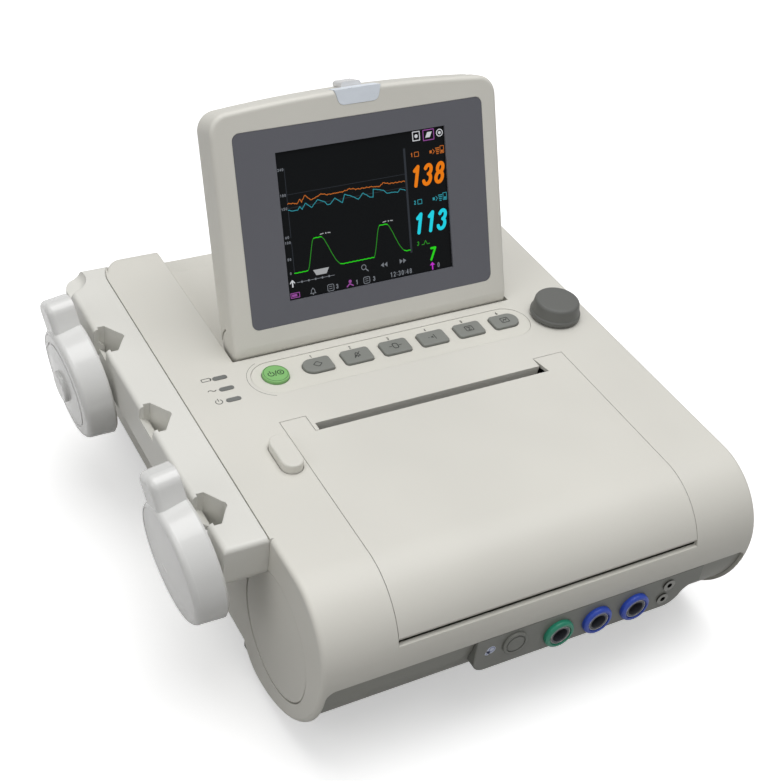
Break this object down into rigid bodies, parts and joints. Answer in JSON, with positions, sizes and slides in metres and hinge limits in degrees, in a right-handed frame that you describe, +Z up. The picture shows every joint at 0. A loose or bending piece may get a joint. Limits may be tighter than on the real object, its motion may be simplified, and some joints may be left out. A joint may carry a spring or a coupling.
{
  "type": "fetal monitor",
  "caption": "Bedside fetal monitor with folding display, key row, press-and-turn knob, thermal recorder under a latched paper door, front sockets and probes docked on a side rail.",
  "frame": {"origin": "centre of the trolley pad under the base, level with the table the feet stand on", "axes": "+X to the right side of the case, +Y from the rounded front towards the rear wall, +Z up"},
  "size_m": [0.3503, 0.3809, 0.2725],
  "materials": {
    "case": "smooth satin moulding",
    "lower_case": "satin moulding",
    "panel_grey": "satin moulding",
    "socket_green": "smooth",
    "socket_blue": "smooth",
    "socket_lining": "smooth",
    "marker": "smooth",
    "jack_metal": "polished",
    "steel": "brushed",
    "brass": "turned",
    "aluminium": "satin",
    "inner_plastic": "satin",
    "gear": "smooth",
    "rubber": "matt",
    "board": "solder resist",
    "key_grey": "satin",
    "key_green": "satin",
    "lamp": "smooth",
    "knob": "satin",
    "overlay": "smooth",
    "display": "smooth",
    "lens": "frosted",
    "probe": "polished",
    "battery": "shrink film",
    "inlet": "satin"
  },
  "bodies": {
    "case": {"top_housing": "case", "end_discs": "case", "bottom_housing": "lower_case", "socket_panel": "panel_grey", "toco_socket": "socket_green", "ultrasound_sockets": "socket_blue", "socket_linings": "socket_lining", "marker_socket": "marker", "front_jacks": "jack_metal", "door_hinge_pin": "steel", "stepper_motor": "steel", "recorder_frame": "steel", "thermal_head": "aluminium", "paper_tray": "inner_plastic", "key_plate": "case", "led_windows": "lamp", "key_board": "board", "encoder_body": "inner_plastic", "hinge_arms": "steel", "hinge_pins": "steel", "screen_bumpers": "rubber", "probe_rail": "case", "rubber_feet": "rubber", "trolley_inserts": "brass", "case_screws": "steel", "battery_pack": "battery", "battery_door": "lower_case", "main_board": "board", "power_supply": "board", "loudspeaker": "inner_plastic", "mains_inlet": "inlet", "network_socket": "steel", "earth_stud": "steel"},
    "door": {"paper_door": "case"},
    "platen": {"platen_shaft": "steel", "platen_rubber": "rubber", "platen_gear": "gear"},
    "reduction": {"reduction_gear": "gear"},
    "pinion": {"motor_pinion": "brass"},
    "latch": {"door_latch_button": "case"},
    "encoder_turn": {"encoder_sleeve": "steel"},
    "knob": {"encoder_shaft": "steel", "control_knob": "knob"},
    "screen": {"screen_front_frame": "case", "screen_rear_cover": "case", "display_overlay": "overlay", "lcd_panel": "display", "alarm_lens": "lens", "screen_catch": "lens"},
    "ultrasound_probe": {"ultrasound_transducer_shell": "probe", "ultrasound_transducer_face": "probe"},
    "toco_probe": {"toco_transducer_shell": "probe", "toco_transducer_face": "probe"},
    "start_key_cap": {"start_key": "key_grey"},
    "silence_key_cap": {"silence_key": "key_grey"},
    "auto_zero_key_cap": {"auto_zero_key": "key_grey"},
    "mark_key_cap": {"mark_key": "key_grey"},
    "print_key_cap": {"print_key": "key_grey"},
    "channel_key_cap": {"channel_key": "key_grey"},
    "power_key_cap": {"power_key": "key_green"}
  },
  "joints": [
    {"name": "screen_hinge", "type": "hinge", "parent": "case", "child": "screen", "pos_m": [-0.0028, 0.05322, 0.12845], "axis": [1, 0, 0], "range_deg": [-68.26, 21.74]},
    {"name": "door_hinge", "type": "hinge", "parent": "case", "child": "door", "pos_m": [0, -0.17603, 0.0973], "axis": [1, 0, 0], "range_deg": [0, 85]},
    {"name": "latch_press", "type": "slide", "parent": "case", "child": "latch", "axis": [0, 0, -1], "range_m": [0, 0.003], "stiffness_N_per_m": 900, "springref_m": -0.002},
    {"name": "knob_turn", "type": "hinge", "parent": "case", "child": "encoder_turn", "pos_m": [0.1208, 0.0154, 0.125], "axis": [0, 0, 1], "continuous": true},
    {"name": "knob_press", "type": "slide", "parent": "encoder_turn", "child": "knob", "axis": [0, 0, -1], "range_m": [0, 0.0008], "stiffness_N_per_m": 2500, "springref_m": -0.0008},
    {"name": "reduction_spin", "type": "hinge", "parent": "case", "child": "reduction", "pos_m": [0, -0.0426, 0.0886], "axis": [1, 0, 0], "continuous": true},
    {"name": "platen_spin", "type": "hinge", "parent": "door", "child": "platen", "pos_m": [0, -0.0426, 0.1126], "axis": [1, 0, 0], "continuous": true},
    {"name": "pinion_spin", "type": "hinge", "parent": "case", "child": "pinion", "pos_m": [0, -0.0426, 0.0678], "axis": [1, 0, 0], "continuous": true},
    {"name": "ultrasound_probe_lift", "type": "slide", "parent": "case", "child": "ultrasound_probe", "axis": [-0.1408, -0.0049, 0.99], "range_m": [0, 0.05]},
    {"name": "toco_probe_lift", "type": "slide", "parent": "case", "child": "toco_probe", "axis": [-0.1408, -0.0049, 0.99], "range_m": [0, 0.05]},
    {"name": "start_key_press", "type": "slide", "parent": "case", "child": "start_key_cap", "axis": [0, 0, -1], "range_m": [0, 0.0008], "stiffness_N_per_m": 1500, "springref_m": -0.0008},
    {"name": "silence_key_press", "type": "slide", "parent": "case", "child": "silence_key_cap", "axis": [0, 0, -1], "range_m": [0, 0.0008], "stiffness_N_per_m": 1500, "springref_m": -0.0008},
    {"name": "auto_zero_key_press", "type": "slide", "parent": "case", "child": "auto_zero_key_cap", "axis": [0, 0, -1], "range_m": [0, 0.0008], "stiffness_N_per_m": 1500, "springref_m": -0.0008},
    {"name": "mark_key_press", "type": "slide", "parent": "case", "child": "mark_key_cap", "axis": [0, 0, -1], "range_m": [0, 0.0008], "stiffness_N_per_m": 1500, "springref_m": -0.0008},
    {"name": "print_key_press", "type": "slide", "parent": "case", "child": "print_key_cap", "axis": [0, 0, -1], "range_m": [0, 0.0008], "stiffness_N_per_m": 1500, "springref_m": -0.0008},
    {"name": "channel_key_press", "type": "slide", "parent": "case", "child": "channel_key_cap", "axis": [0, 0, -1], "range_m": [0, 0.0008], "stiffness_N_per_m": 1500, "springref_m": -0.0008},
    {"name": "power_key_press", "type": "slide", "parent": "case", "child": "power_key_cap", "axis": [0, 0, -1], "range_m": [0, 0.0008], "stiffness_N_per_m": 1500, "springref_m": -0.0008}
  ],
  "couplings": [
    {"joint": "reduction_spin", "follows": "platen_spin", "ratio": -0.5},
    {"joint": "pinion_spin", "follows": "platen_spin", "ratio": 1.6667}
  ]
}
